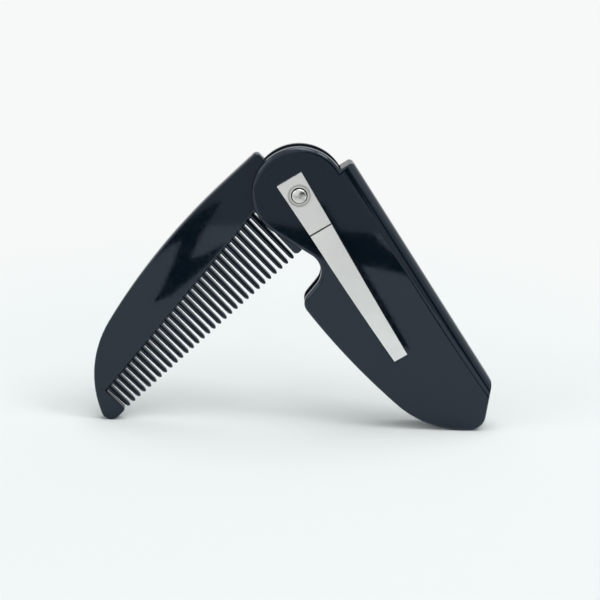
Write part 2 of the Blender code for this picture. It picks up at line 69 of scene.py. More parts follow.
# Handle case: one moulding in gloss black ABS, two flat walls joined along a round back, with a stop lug,
# a thumb notch in the open edge and a slot for the comb. The mould's polish leaves it glossy and a little
# wavy, and it is slightly dusty. Outlines are drawn in the (x, z) plane with the rivet at their origin.
HINGE = Vector(frame["joints"][0]["pos_m"])
HANDLE_TILT = math.radians(-56.0622)
OPEN_ANGLE = math.radians(77.55)
TOWARDS_CAMERA = Vector((0.0, -1.0, 0.0))
HANDLE_PLACE = Matrix.Translation(HINGE) @ Matrix.Rotation(HANDLE_TILT, 4, TOWARDS_CAMERA)
COMB_PLACE = HANDLE_PLACE @ Matrix.Rotation(-OPEN_ANGLE, 4, TOWARDS_CAMERA)

DISC_RADIUS = 14.05 * MM
LUG_HEIGHT = 4.3 * MM
BACK_LEVEL = DISC_RADIUS + LUG_HEIGHT
CASE_THICKNESS = 8.0 * MM
SLOT_WIDTH = 3.8 * MM
RIM_ROUNDING = 1.2 * MM
BACK_ROUNDING = 4.3 * MM
BACK_FLAT = 1.6 * MM
BACK_WALL = 2.1 * MM
LUG_FACE = 0.2 * MM
LUG_CORNER = 1.5 * MM
LUG_BLOCK = 4.6 * MM
SLOT_CORNER = 1.2 * MM
POCKET_RELIEF = 0.25 * MM
EDGE_LEVEL = 18.4 * MM
STRAIGHT_RUN = 14.0 * MM
SWEEP_TURN = math.radians(14.85)
NOSE_RADIUS = 31.85 * MM
POINT_REACH = 98.4 * MM
END_LENGTH = 14.35 * MM
END_SLANT = math.radians(39.5)
END_CORNER_BACK = 2.2 * MM
END_CORNER_OPEN = 5.0 * MM
NECK_ANGLE = math.radians(-65.0)
NOTCH_RADIUS = 6.4 * MM
NOTCH_WALL = math.radians(-70.0)
NOTCH_REACH = 27.7 * MM
NOTCH_LEVEL = 13.2 * MM
LOBE_CORNER = 4.0 * MM
SHANK_HOLE = 1.6 * MM
OVERRUN = 3.0 * MM                       # cutters reach this far past what they cut
FINE_SAG = 0.004 * MM                    # arcs keep this close to the true circle
RIM_STEPS = 6
BACK_STEPS = 25
FLAT_FACE_WEIGHT = 90
SHARP_PLASTIC = 32.0                     # degrees


def heading(angle):
    """Unit vector at this angle."""
    return np.array([math.cos(angle), math.sin(angle)])


def left_of(direction):
    """The direction turned a quarter turn to the left."""
    return np.array([-direction[1], direction[0]])


def angle_of(vector):
    """Angle of a vector."""
    return math.atan2(vector[1], vector[0])


def arc(centre, radius, start, end):
    """Points on a circle from one angle to another."""
    step = 2.0 * math.acos(1.0 - min(FINE_SAG / radius, 0.5))
    count = max(2, math.ceil(abs(end - start) / step))
    return [np.array(centre) + radius * heading(angle) for angle in np.linspace(start, end, count + 1)]


def corner_arc(corner, arriving, leaving, radius):
    """Arc that rounds a corner between two headings."""
    turn = math.remainder(leaving - arriving, 2.0 * math.pi)
    side = math.copysign(1.0, turn)
    start = corner - heading(arriving) * radius * math.tan(abs(turn) / 2.0)
    first = arriving - side * math.pi / 2.0
    return arc(start + side * left_of(heading(arriving)) * radius, radius, first, first + turn)


def crossing(point_a, angle_a, point_b, angle_b):
    """Where two lines cross, each given by a point and a heading."""
    along = heading(angle_a)
    across = left_of(heading(angle_b))
    return point_a + along * (np.dot(point_b - point_a, across) / np.dot(along, across))


def circle_crossing(point, angle, centre, radius, side):
    """Where a line crosses a circle: side 1 for the later crossing, -1 for the earlier one."""
    along = heading(angle)
    offset = np.dot(centre - point, left_of(along))
    half_chord = math.sqrt(max(radius * radius - offset * offset, 0.0))
    return point + along * (np.dot(centre - point, along) + side * half_chord)


class EdgeCurve:
    """The long curve of the case's open edge or of the comb's back: straight run, sweep and nose."""

    def __init__(self, level, lean, turn, nose_radius, reach):
        run = reach - nose_radius * (1.0 - math.sin(turn)) - STRAIGHT_RUN
        self.lean, self.join = lean, turn - math.pi / 2.0
        self.run_end = np.array([STRAIGHT_RUN, -level])
        self.sweep_radius, self.nose_radius = run / (math.sin(turn) - math.sin(lean)), nose_radius
        self.sweep_centre = self.run_end + left_of(heading(lean)) * self.sweep_radius
        self.nose_centre = self.sweep_centre + heading(self.join) * (self.sweep_radius - nose_radius)

    def run_point(self, x):
        """Point of the straight run at this x."""
        return crossing(self.run_end, self.lean, np.array([x, 0.0]), math.pi / 2.0)

    def sweep(self, start):
        """Points of the sweep, from this angle to the nose."""
        return arc(self.sweep_centre, self.sweep_radius, start, self.join)

    def nose(self, end):
        """Points of the nose, from just past the sweep to this angle."""
        return arc(self.nose_centre, self.nose_radius, self.join, end)[1:]

    def nose_corner(self, point, angle, radius):
        """Rounded corner from the nose to a line: the nose's last angle and the corner's arc."""
        inside = point + left_of(heading(angle)) * radius
        centre = circle_crossing(inside, angle, self.nose_centre, self.nose_radius - radius, -1.0)
        stop = angle_of(centre - self.nose_centre)
        last = angle - math.pi / 2.0
        return stop, arc(centre, radius, stop, last + (2.0 * math.pi if last < stop else 0.0))


def case_outline():
    """Stop lug, round head, thumb notch, lobe, open edge, nose and slanted end."""
    edge = EdgeCurve(EDGE_LEVEL, 0.0, SWEEP_TURN, NOSE_RADIUS, POINT_REACH)
    lug = corner_arc(np.array([LUG_FACE, BACK_LEVEL]), math.pi, 1.5 * math.pi, LUG_CORNER)
    head = arc((0.0, 0.0), DISC_RADIUS, math.acos(LUG_FACE / DISC_RADIUS), 2.0 * math.pi + NECK_ANGLE)
    neck = NECK_ANGLE + math.pi / 2.0
    wall = np.array([NOTCH_REACH, -NOTCH_LEVEL])
    notch = corner_arc(crossing(head[-1], neck, wall, NOTCH_WALL), neck, NOTCH_WALL, NOTCH_RADIUS)
    inside = wall + left_of(heading(NOTCH_WALL)) * LOBE_CORNER
    lobe_centre = circle_crossing(inside, NOTCH_WALL, edge.sweep_centre,
                                  edge.sweep_radius - LOBE_CORNER, 1.0)
    lobe_end = angle_of(lobe_centre - edge.sweep_centre)
    lobe = arc(lobe_centre, LOBE_CORNER, NOTCH_WALL - math.pi / 2.0, lobe_end)
    end_point = np.array([POINT_REACH - END_LENGTH, BACK_LEVEL])
    stop, open_corner = edge.nose_corner(end_point, math.pi - END_SLANT, END_CORNER_OPEN)
    back_corner = corner_arc(end_point, math.pi - END_SLANT, math.pi, END_CORNER_BACK)
    return (lug + head + notch + lobe + edge.sweep(lobe_end)[1:] + edge.nose(stop)
            + open_corner[1:] + back_corner)


def slot_outline():
    """Room for the comb: a pocket round the hub, and all below the back wall."""
    pocket = DISC_RADIUS + POCKET_RELIEF
    floor = BACK_LEVEL - BACK_WALL
    far = POINT_REACH + OVERRUN
    low = -EDGE_LEVEL - OVERRUN
    floor_corner = corner_arc(np.array([LUG_BLOCK, floor]), math.pi, 1.5 * math.pi, SLOT_CORNER)
    head = arc((0.0, 0.0), pocket, math.acos(LUG_BLOCK / pocket), math.pi)
    return ([np.array([far, floor])] + floor_corner + head
            + [np.array([-pocket, low]), np.array([far, low])])


def finished(name, builder):
    """Object from a bmesh, with outward faces."""
    bmesh.ops.recalc_face_normals(builder, faces=builder.faces)
    mesh = bpy.data.meshes.new(name)
    builder.to_mesh(mesh)
    builder.free()
    item = bpy.data.objects.new(name, mesh)
    scene.collection.objects.link(item)
    return item


def plate(name, outline, front, back, rim=0.0):
    """Flat piece of this outline, its two rims rounded."""
    builder = bmesh.new()
    face = builder.faces.new([builder.verts.new((x, front, z)) for x, z in outline])
    new = bmesh.ops.extrude_face_region(builder, geom=[face])["geom"]
    moved = [item for item in new if isinstance(item, bmesh.types.BMVert)]
    bmesh.ops.translate(builder, verts=moved, vec=(0.0, back - front, 0.0))
    if rim:
        middle = (front + back) / 2.0
        rims = [edge for edge in builder.edges
                if (edge.verts[0].co.y - middle) * (edge.verts[1].co.y - middle) > 0.0]
        bmesh.ops.bevel(builder, geom=rims, offset=rim, segments=RIM_STEPS, profile=0.5,
                        affect='EDGES', clamp_overlap=False)
    return finished(name, builder)


def apply_modifiers(item):
    """Replace a piece's mesh by the result of its modifiers."""
    bpy.context.view_layer.update()
    graph = bpy.context.evaluated_depsgraph_get()
    mesh = bpy.data.meshes.new_from_object(item.evaluated_get(graph))
    item.modifiers.clear()
    item.data = mesh


def cut(item, cutters):
    """Cut pieces out of a piece and throw the cutters away."""
    for cutter in cutters:
        modifier = item.modifiers.new(cutter.name, 'BOOLEAN')
        modifier.operation = 'DIFFERENCE'
        modifier.solver = 'EXACT'
        modifier.object = cutter
    apply_modifiers(item)
    for cutter in cutters:
        bpy.data.objects.remove(cutter, do_unlink=True)


def smooth(item, sharp):
    """Smooth shading that keeps flat faces flat and edges over an angle sharp."""
    item.data.shade_smooth()
    item.data.set_sharp_from_angle(angle=math.radians(sharp))
    modifier = item.modifiers.new("flat_faces", 'WEIGHTED_NORMAL')
    modifier.keep_sharp = True
    modifier.weight = FLAT_FACE_WEIGHT
    apply_modifiers(item)


def back_cutter(name, side):
    """What is cut away to round one side of the case's back."""
    half = CASE_THICKNESS / 2.0
    crown = BACK_FLAT / 2.0
    base = BACK_LEVEL - BACK_ROUNDING
    outside = half + OVERRUN
    section = [(side * (crown + (half - crown) * math.cos(angle)), base + BACK_ROUNDING * math.sin(angle))
               for angle in np.linspace(0.0, math.pi / 2.0, BACK_STEPS)]
    section += [(side * crown, BACK_LEVEL + OVERRUN), (side * outside, BACK_LEVEL + OVERRUN),
                (side * outside, base)]
    builder = bmesh.new()
    start = LUG_FACE - OVERRUN
    face = builder.faces.new([builder.verts.new((start, y, z)) for y, z in section])
    new = bmesh.ops.extrude_face_region(builder, geom=[face])["geom"]
    moved = [item for item in new if isinstance(item, bmesh.types.BMVert)]
    bmesh.ops.translate(builder, verts=moved, vec=(POINT_REACH + OVERRUN - start, 0.0, 0.0))
    return finished(name, builder)


def rod(name, radius, front, back):
    """Round bar about the rivet's axis."""
    return plate(name, arc((0.0, 0.0), radius, 0.0, 2.0 * math.pi)[:-1], front, back)


half = CASE_THICKNESS / 2.0
case_shell = plate("case_shell", case_outline(), -half, half, RIM_ROUNDING)
cut(case_shell, [back_cutter("back_front", -1.0), back_cutter("back_rear", 1.0),
                 plate("slot", slot_outline(), -SLOT_WIDTH / 2.0, SLOT_WIDTH / 2.0),
                 rod("shank_hole", SHANK_HOLE, -half - OVERRUN, half + OVERRUN)])
smooth(case_shell, SHARP_PLASTIC)
case_shell.data.transform(HANDLE_PLACE)


def linear(hex_colour):
    """Linear red, green, blue and alpha of an sRGB hex colour."""
    shares = [int(hex_colour[place:place + 2], 16) / 255.0 for place in (0, 2, 4)]
    return [share / 12.92 if share <= 0.04045 else ((share + 0.055) / 1.055) ** 2.4
            for share in shares] + [1.0]


def node(tree, kind, links=None, **settings):
    """Add a node: settings go to its attributes, links and values to its sockets by name or number."""
    made = tree.nodes.new(kind)
    for key, value in settings.items():
        setattr(made, key, value)
    for key, value in (links or {}).items():
        socket = made.inputs[key]
        if isinstance(value, bpy.types.NodeSocket):
            tree.links.new(value, socket)
        else:
            socket.default_value = value
    return made


def empty_material(name):
    """New material without nodes."""
    material = bpy.data.materials.new(name)
    material.use_nodes = True
    material.node_tree.nodes.clear()
    return material


SINK_WAVE = 22.2 * MM                    # across one wave that the cooling plastic left
HANDLING_MARK = 1.43 * MM
DUST_SPACING = 2.22 * MM


def gloss_black_abs(name):
    """Gloss black ABS as moulded: nearly black, with a clear polish over a faint waviness and fine dust."""
    material = empty_material(name)
    tree = material.node_tree
    place = node(tree, 'ShaderNodeTexCoord').outputs["Object"]
    waves = node(tree, 'ShaderNodeTexNoise', {"Vector": place, "Scale": 1.0 / SINK_WAVE, "Detail": 1.0,
                                              "Roughness": 0.4})
    bump = node(tree, 'ShaderNodeBump', {"Strength": 0.10, "Distance": 0.10 * MM,
                                         "Height": waves.outputs["Fac"]})
    # handling marks are seen as patches that mirror a little less sharply
    marks = node(tree, 'ShaderNodeTexNoise', {"Vector": place, "Scale": 1.0 / HANDLING_MARK, "Detail": 4.0,
                                              "Roughness": 0.65})
    dull = node(tree, 'ShaderNodeMapRange', {"Value": marks.outputs["Fac"], "From Min": 0.35,
                                             "From Max": 0.75, "To Min": 0.03, "To Max": 0.09})
    # dust grains of about 0.2 mm, larger than real ones so that they show
    grains = node(tree, 'ShaderNodeTexVoronoi', {"Vector": place, "Scale": 1.0 / DUST_SPACING,
                                                 "Randomness": 1.0})
    near = node(tree, 'ShaderNodeMapRange', {"Value": grains.outputs["Distance"], "From Min": 0.035,
                                             "From Max": 0.06, "To Min": 1.0, "To Max": 0.0})
    picked = node(tree, 'ShaderNodeMapRange', {"Value": grains.outputs["Color"], "From Min": 0.93,
                                               "From Max": 0.95, "To Min": 0.0, "To Max": 1.0})
    dust = node(tree, 'ShaderNodeMath', {0: near.outputs["Result"], 1: picked.outputs["Result"]},
                operation='MULTIPLY')
    colour = node(tree, 'ShaderNodeMix', {"Factor": dust.outputs[0], "A": linear("0C1720"),
                                          "B": linear("5A6062")}, data_type='RGBA')
    # the gloss has a faint blue cast, as the daylight that it mirrors
    shader = node(tree, 'ShaderNodeBsdfPrincipled',
                  {"Base Color": colour.outputs["Result"], "Roughness": dull.outputs["Result"], "IOR": 1.54,
                   "Normal": bump.outputs["Normal"], "Specular Tint": linear("DEEBFF")})
    node(tree, 'ShaderNodeOutputMaterial', {"Surface": shader.outputs["BSDF"]})
    return material


case_shell.data.materials.clear()
case_shell.data.materials.append(gloss_black_abs("gloss_black_abs"))
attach(case_shell, "handle")
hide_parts("case")


# Comb: one moulding in the same gloss black plastic, a hub that turns on the rivet, a curved back, a guard
# tooth at each end and a row of fine teeth. Each has a ridge along its middle and two facets on either side
# of it, which mirror one light line and one dark one.
COMB_THICKNESS = 3.2 * MM
HUB_CLEARANCE = 0.4 * MM
SPINE_INSET = 0.38 * MM
SPINE_LEAN = math.radians(-1.6)
SPINE_TURN = math.radians(13.75)
SPINE_NOSE_RADIUS = 36.9 * MM
NOSE_PROUD = 0.2 * MM                    # the comb's nose reaches this far past the case's
COMB_REACH = POINT_REACH + NOSE_PROUD
SHOULDER_FACE = 0.2 * MM
SHOULDER_CORNER = 1.4 * MM
COMB_EDGE = 0.6 * MM
TIP_CORNER = 3.0 * MM
END_GUARD_LEVEL = 11.8 * MM
END_GUARD_CORNER = 1.2 * MM
HUB_GUARD_WIDTH = 3.3 * MM
HUB_GUARD_LEVEL = 13.4 * MM
HUB_GUARD_CORNER = 1.3 * MM
TOOTH_PITCH = 2.37 * MM
GAP_WIDTH = 0.56 * MM
FIRST_GAP = 14.2 * MM
LAST_GUARD = 9.9 * MM
TOOTH_LEAN = math.radians(2.4)
ROOT_LEVEL_HUB = -4.6 * MM
ROOT_LEVEL_END = 3.4 * MM
TIP_LEVEL_HUB = 13.8 * MM
TIP_LEVEL_END = 12.0 * MM
ROOT_POCKET = 0.5 * MM
ROOT_WEB = 1.0 * MM
ROOT_EMBED = 1.6 * MM
ROOT_DEPTH = 2.7 * MM
TIP_DEPTH = 1.8 * MM
TOOTH_WIDTH = 1.80 * MM
TOOTH_WIDTH_TIP = 1.34 * MM
TOOTH_SECTION = ((0.0, 0.0), (0.52, 0.242), (1.0, 0.620))    # across and back, in half widths
TIP_ROUNDING = 1.6 * MM
TIP_ANGLES = np.linspace(1.3, 0.15, 6)   # the tip's rings, from its foot to its end
TOOTH_BEVEL = 0.03 * MM
LONG_EDGE = 5.0 * MM                     # edges along a tooth are longer, all others shorter
SHARP_TEETH = 12.0                       # degrees
TEETH_END = COMB_REACH - LAST_GUARD - TIP_LEVEL_END * math.tan(TOOTH_LEAN)
FINE_TEETH = int((TEETH_END - FIRST_GAP) / TOOTH_PITCH)


def gap_line(number):
    """Where the middle of this gap meets the line through the rivet."""
    return FIRST_GAP + number * TOOTH_PITCH


def level_line(at_hub, at_end, x):
    """Level that goes evenly from one value at the hub's gap to another at the last one."""
    return at_hub + (at_end - at_hub) * (x - FIRST_GAP) / (FINE_TEETH * TOOTH_PITCH)


def comb_outline():
    """Shoulder, curved back, end guard, roots, hub guard and hub."""
    edge = EdgeCurve(EDGE_LEVEL - SPINE_INSET, SPINE_LEAN, SPINE_TURN, SPINE_NOSE_RADIUS, COMB_REACH)
    hub_radius = DISC_RADIUS - HUB_CLEARANCE
    up = math.pi / 2.0 - TOOTH_LEAN
    half_gap = GAP_WIDTH / 2.0
    root_slope = math.atan2(ROOT_LEVEL_END - ROOT_LEVEL_HUB, FINE_TEETH * TOOTH_PITCH)
    root_point = np.array([FIRST_GAP, ROOT_LEVEL_HUB - ROOT_POCKET])
    shoulder = corner_arc(edge.run_point(SHOULDER_FACE), -math.pi / 2.0, SPINE_LEAN, SHOULDER_CORNER)
    stop, tip = edge.nose_corner(np.array([COMB_REACH, END_GUARD_LEVEL]), math.pi, TIP_CORNER)
    end_side = np.array([gap_line(FINE_TEETH) + half_gap, 0.0])
    end_top = crossing(end_side, up, np.array([0.0, END_GUARD_LEVEL]), 0.0)
    end_root = crossing(end_side, up, root_point, root_slope)
    end_corner = corner_arc(end_top, math.pi, up + math.pi, END_GUARD_CORNER)
    hub_side = np.array([gap_line(0) - half_gap, 0.0])
    hub_root = crossing(hub_side, up, root_point, root_slope)
    hub_top = crossing(hub_side, up, np.array([0.0, HUB_GUARD_LEVEL]), 0.0)
    inner_corner = corner_arc(hub_top, up, math.pi, HUB_GUARD_CORNER)
    outer_top = hub_top - np.array([HUB_GUARD_WIDTH, 0.0])
    outer_corner = corner_arc(outer_top, math.pi, up + math.pi, HUB_GUARD_CORNER)
    hub_meet = circle_crossing(outer_top, up + math.pi, np.zeros(2), hub_radius, -1.0)
    foot = -math.acos(SHOULDER_FACE / hub_radius)
    hub = arc((0.0, 0.0), hub_radius, angle_of(hub_meet), 2.0 * math.pi + foot)
    return (shoulder + edge.sweep(SPINE_LEAN - math.pi / 2.0) + edge.nose(stop) + tip[1:] + end_corner
            + [end_root, hub_root] + inner_corner + outer_corner + hub)


def web_outline():
    """Thin web that closes the gaps' ends along the roots."""
    start, end = FIRST_GAP - GAP_WIDTH, gap_line(FINE_TEETH) + GAP_WIDTH
    levels = [level_line(ROOT_LEVEL_HUB, ROOT_LEVEL_END, x) for x in (start, end)]
    return [np.array([start, levels[0] - ROOT_EMBED]), np.array([end, levels[1] - ROOT_EMBED]),
            np.array([end, levels[1]]), np.array([start, levels[0]])]


def loft(builder, sections):
    """Closed skin over sections of the same number of points."""
    loops = [[builder.verts.new(point) for point in section] for section in sections]
    builder.faces.new(loops[0])
    for lower, upper in zip(loops, loops[1:]):
        for index in range(len(lower)):
            following = (index + 1) % len(lower)
            builder.faces.new((lower[index], lower[following], upper[following], upper[index]))
    builder.faces.new(loops[-1])


def tooth_ring(centre, across, width, depth):
    """Section of a tooth about its centre."""
    half_width = width / 2.0
    quarter = [(half_width * share, depth / 2.0 - half_width * drop) for share, drop in TOOTH_SECTION]
    right = quarter + [(w, -y) for w, y in quarter[::-1]]
    corners = right + [(-w, -y) for w, y in right]
    return [(centre[0] + across[0] * w, y, centre[1] + across[1] * w) for w, y in corners]


def add_tooth(builder, number):
    """Tooth from inside the comb's back to its rounded tip."""
    up = heading(math.pi / 2.0 - TOOTH_LEAN)
    across = -left_of(up)
    foot = np.array([gap_line(number) + TOOTH_PITCH / 2.0, 0.0])
    root = level_line(ROOT_LEVEL_HUB, ROOT_LEVEL_END, foot[0])
    tip = level_line(TIP_LEVEL_HUB, TIP_LEVEL_END, foot[0])
    rings = [(root - ROOT_EMBED, TOOTH_WIDTH, ROOT_DEPTH),
             (tip - TIP_ROUNDING, TOOTH_WIDTH_TIP, TIP_DEPTH)]
    rings += [(tip - TIP_ROUNDING * (1.0 - math.cos(angle)), TOOTH_WIDTH_TIP * math.sin(angle),
               TIP_DEPTH * math.sin(angle)) for angle in TIP_ANGLES]
    loft(builder, [tooth_ring(foot + up * level, across, width, depth) for level, width, depth in rings])


half = COMB_THICKNESS / 2.0
comb_plate = plate("comb_plate", comb_outline(), -half, half, COMB_EDGE)
cut(comb_plate, [rod("hub_hole", SHANK_HOLE, -half - OVERRUN, half + OVERRUN)])
smooth(comb_plate, SHARP_PLASTIC)
comb_web = plate("comb_web", web_outline(), -ROOT_WEB / 2.0, ROOT_WEB / 2.0)
builder = bmesh.new()
for number in range(FINE_TEETH):
    add_tooth(builder, number)
bmesh.ops.bevel(builder, geom=[edge for edge in builder.edges if edge.calc_length() > LONG_EDGE],
                offset=TOOTH_BEVEL, segments=2, affect='EDGES', clamp_overlap=True)
comb_teeth = finished("comb_teeth", builder)
smooth(comb_teeth, SHARP_TEETH)
comb_plastic = gloss_black_abs("gloss_black_abs_comb")
for piece in (comb_plate, comb_web, comb_teeth):
    piece.data.transform(COMB_PLACE)
    piece.data.materials.clear()
    piece.data.materials.append(comb_plastic)
    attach(piece, "comb")
    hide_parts("comb")


# Pocket clip: a tapered strip of spring steel, satin from tumbling, flat under the rivet, creased, and
# bowed so that its square tip comes back to the case. A ring is coined round the rivet's head, and the
# crease and the groove round the head are painted dark as shade.
CLIP_THICKNESS = 0.9 * MM
CLIP_TOP = 5.8 * MM
CLIP_BEND = 12.3 * MM
CLIP_REACH = 60.5 * MM
CLIP_WIDTH_TOP = 8.4 * MM
CLIP_WIDTH_TIP = 4.5 * MM
CLIP_BOW = 1.5 * MM
CLIP_EDGE = 0.12 * MM
CLIP_TURN = math.radians(-1.05)
SEAT_GAP = 0.25 * MM
RING_INNER = 2.75 * MM
RING_OUTER = 3.45 * MM
RING_DEPTH = 0.12 * MM
CREASE_HALF = 0.24 * MM
CREASE_DEPTH = 0.10 * MM
HEAD_GROOVE = 2.5 * MM
HEAD_GROOVE_DEPTH = 0.4 * MM
BOW_STEPS = 49
CORNER_ANGLE = math.radians(60.0)        # edges sharper than this get the strip's edge rounding
SHARP_CLIP = 20.0                        # degrees
SLOPING = 0.2                            # a face of the crease leans more than this along the strip
BELOW_FACE = 0.05 * MM
SAME_LEVEL = 0.01 * MM
TURN_STEPS = 96
WELD = 0.001 * MM


def clip_width(x):
    """Width of the strip at this distance from the rivet."""
    return CLIP_WIDTH_TOP + (CLIP_WIDTH_TIP - CLIP_WIDTH_TOP) * (x + CLIP_TOP) / (CLIP_REACH + CLIP_TOP)


def clip_stand_off(x):
    """How far the bow lifts the strip at this distance from the rivet."""
    if x <= CLIP_BEND:
        return 0.0
    share = (x - CLIP_BEND) / (CLIP_REACH - CLIP_BEND)
    return 4.0 * CLIP_BOW * share * (1.0 - share)


def revolved(name, profile):
    """Turn a profile of (radius, y) points about the rivet's axis."""
    builder = bmesh.new()
    verts = [builder.verts.new((radius, y, 0.0)) for radius, y in profile]
    edges = [builder.edges.new(pair) for pair in zip(verts, verts[1:])]
    if profile[0][0] > 0.0:
        edges.append(builder.edges.new((verts[-1], verts[0])))
    bmesh.ops.spin(builder, geom=verts + edges, cent=(0.0, 0.0, 0.0), axis=(0.0, 1.0, 0.0),
                   angle=2.0 * math.pi, steps=TURN_STEPS, use_merge=True)
    bmesh.ops.remove_doubles(builder, verts=builder.verts, dist=WELD)
    return finished(name, builder)


rear = -CASE_THICKNESS / 2.0 - SEAT_GAP
sections = []
for x in ([-CLIP_TOP, CLIP_BEND - CREASE_HALF, CLIP_BEND, CLIP_BEND + CREASE_HALF]
          + list(np.linspace(CLIP_BEND, CLIP_REACH, BOW_STEPS)[1:])):
    half = clip_width(x) / 2.0
    inner = rear - clip_stand_off(x)
    outer = inner - CLIP_THICKNESS + (CREASE_DEPTH if x == CLIP_BEND else 0.0)
    sections.append([(x, outer, -half), (x, outer, half), (x, inner, half), (x, inner, -half)])
builder = bmesh.new()
loft(builder, sections)
corner_edges = [edge for edge in builder.edges if edge.calc_face_angle(0.0) > CORNER_ANGLE]
bmesh.ops.bevel(builder, geom=corner_edges, offset=CLIP_EDGE, segments=3, affect='EDGES',
                clamp_overlap=False)
clip_strip = finished("clip_strip", builder)
face = rear - CLIP_THICKNESS
cut(clip_strip, [rod("clip_hole", SHANK_HOLE, face - OVERRUN, rear + OVERRUN),
                 rod("head_groove", HEAD_GROOVE, face - OVERRUN, face + HEAD_GROOVE_DEPTH),
                 revolved("coined_ring", [(RING_INNER, face + RING_DEPTH), (RING_OUTER, face + RING_DEPTH),
                                          (RING_OUTER, face - OVERRUN), (RING_INNER, face - OVERRUN)])])
smooth(clip_strip, SHARP_CLIP)
# faces of the crease and of the groove round the head, which are painted dark as shade
grooves, coined = [], []
for polygon in clip_strip.data.polygons:
    x, y, z = polygon.center
    radius = math.hypot(x, z)
    in_crease = abs(x - CLIP_BEND) < CREASE_HALF and abs(polygon.normal.x) > SLOPING
    round_head = radius < HEAD_GROOVE and y > face + BELOW_FACE
    if y < rear - CLIP_THICKNESS / 2.0 and (in_crease or round_head):
        grooves.append(polygon.index)
    elif RING_INNER < radius < RING_OUTER and abs(y - face - RING_DEPTH) < SAME_LEVEL:
        coined.append(polygon.index)
clip_strip.data.transform(HANDLE_PLACE @ Matrix.Rotation(CLIP_TURN, 4, TOWARDS_CAMERA))


SCRATCH_LENGTH = 16.7 * MM
SCRATCH_WIDTH = 0.4 * MM                 # wider than the real scratches so that they show
TUMBLING_CLOUD = 3.85 * MM


def satin_steel(name, colour, cloud, low, high, grain):
    """Steel: grey-white metal with fine scratches along the strip and a cloudy tumbled finish.

    In clouds the colour goes over to a second one and the roughness from low to high; grain is how deep
    the scratches look.
    """
    material = empty_material(name)
    tree = material.node_tree
    place = node(tree, 'ShaderNodeTexCoord').outputs["Object"]
    turned = node(tree, 'ShaderNodeMapping', {"Vector": place, "Rotation": (0.0, HANDLE_TILT, 0.0)})
    stretched = node(tree, 'ShaderNodeMapping',
                     {"Vector": turned.outputs["Vector"],
                      "Scale": (1.0 / SCRATCH_LENGTH, 1.0 / SCRATCH_WIDTH, 1.0 / SCRATCH_WIDTH)})
    lines = node(tree, 'ShaderNodeTexNoise', {"Vector": stretched.outputs["Vector"], "Scale": 1.0,
                                              "Detail": 2.0})
    clouds = node(tree, 'ShaderNodeTexNoise', {"Vector": place, "Scale": 1.0 / TUMBLING_CLOUD,
                                               "Detail": 3.0})
    polish = node(tree, 'ShaderNodeMapRange', {"Value": clouds.outputs["Fac"], "From Min": 0.3,
                                               "From Max": 0.7, "To Min": low, "To Max": high})
    bump = node(tree, 'ShaderNodeBump', {"Strength": grain, "Distance": 0.01 * MM,
                                         "Height": lines.outputs["Fac"]})
    tint = node(tree, 'ShaderNodeMix', {"Factor": clouds.outputs["Fac"], "A": linear(colour),
                                        "B": linear(cloud)}, data_type='RGBA')
    shader = node(tree, 'ShaderNodeBsdfPrincipled',
                  {"Base Color": tint.outputs["Result"], "Metallic": 1.0,
                   "Roughness": polish.outputs["Result"], "Normal": bump.outputs["Normal"]})
    node(tree, 'ShaderNodeOutputMaterial', {"Surface": shader.outputs["BSDF"]})
    return material


# the strip is bright and even from tumbling, the grooves are painted dark as the shade that falls in
# them, the ring is duller where it was struck
clip_strip.data.materials.clear()
for finish in (("satin_spring_steel", "F6F6F4", "E9EAE8", 0.42, 0.50, 0.5),
               # painted shade: the crease and the groove round the head are coloured dark for the shade in
               # them
               ("painted_shade_steel_groove", "4A4A48", "383838", 0.5, 0.6, 0.5),
               ("coined_steel", "D2D2CC", "B2B2AC", 0.5, 0.6, 0.8)):
    clip_strip.data.materials.append(satin_steel(*finish))
for material_number, numbers in ((1, grooves), (2, coined)):
    for number in numbers:
        clip_strip.data.polygons[number].material_index = material_number
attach(clip_strip, "handle")
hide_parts("clip")


# Rivet and washer: a semi-tubular rivet in plated steel, its domed head on the clip and its tail rolled
# over a flat washer behind the case. The head is bright, the washer a little duller.
SHANK_RADIUS = 1.5 * MM
HEAD_RADIUS = 2.15 * MM
HEAD_HEIGHT = 0.85 * MM
HEAD_RIM = 0.25 * MM
TAIL_RADIUS = 2.2 * MM
TAIL_HEIGHT = 0.7 * MM
TAIL_ROLL = 0.35 * MM
TAIL_BORE = 0.8 * MM
TAIL_BORE_DEPTH = 1.6 * MM
WASHER_RADIUS = 3.4 * MM
WASHER_THICKNESS = 0.6 * MM
WASHER_EDGE = 0.12 * MM
DOME_STEPS = 17
ROLL_STEPS = 9
SHARP_ROUND = 30.0                       # degrees

seat_front = -CASE_THICKNESS / 2.0 - SEAT_GAP - CLIP_THICKNESS - SEAT_GAP
seat_rear = CASE_THICKNESS / 2.0 + SEAT_GAP + WASHER_THICKNESS + SEAT_GAP
dome = HEAD_HEIGHT - HEAD_RIM
profile = [(HEAD_RADIUS * math.sin(angle), seat_front - HEAD_RIM - dome * math.cos(angle))
           for angle in np.linspace(0.0, math.pi / 2.0, DOME_STEPS)]
profile += [(HEAD_RADIUS, seat_front), (SHANK_RADIUS, seat_front), (SHANK_RADIUS, seat_rear),
            (TAIL_RADIUS, seat_rear)]
profile += [(TAIL_RADIUS - TAIL_ROLL + TAIL_ROLL * math.cos(angle),
             seat_rear + TAIL_HEIGHT - TAIL_ROLL + TAIL_ROLL * math.sin(angle))
            for angle in np.linspace(0.0, math.pi / 2.0, ROLL_STEPS)]
profile += [(TAIL_BORE, seat_rear + TAIL_HEIGHT), (TAIL_BORE, seat_rear + TAIL_HEIGHT - TAIL_BORE_DEPTH),
            (0.0, seat_rear + TAIL_HEIGHT - TAIL_BORE_DEPTH)]
rivet_body = revolved("rivet_body", profile)
front = CASE_THICKNESS / 2.0 + SEAT_GAP
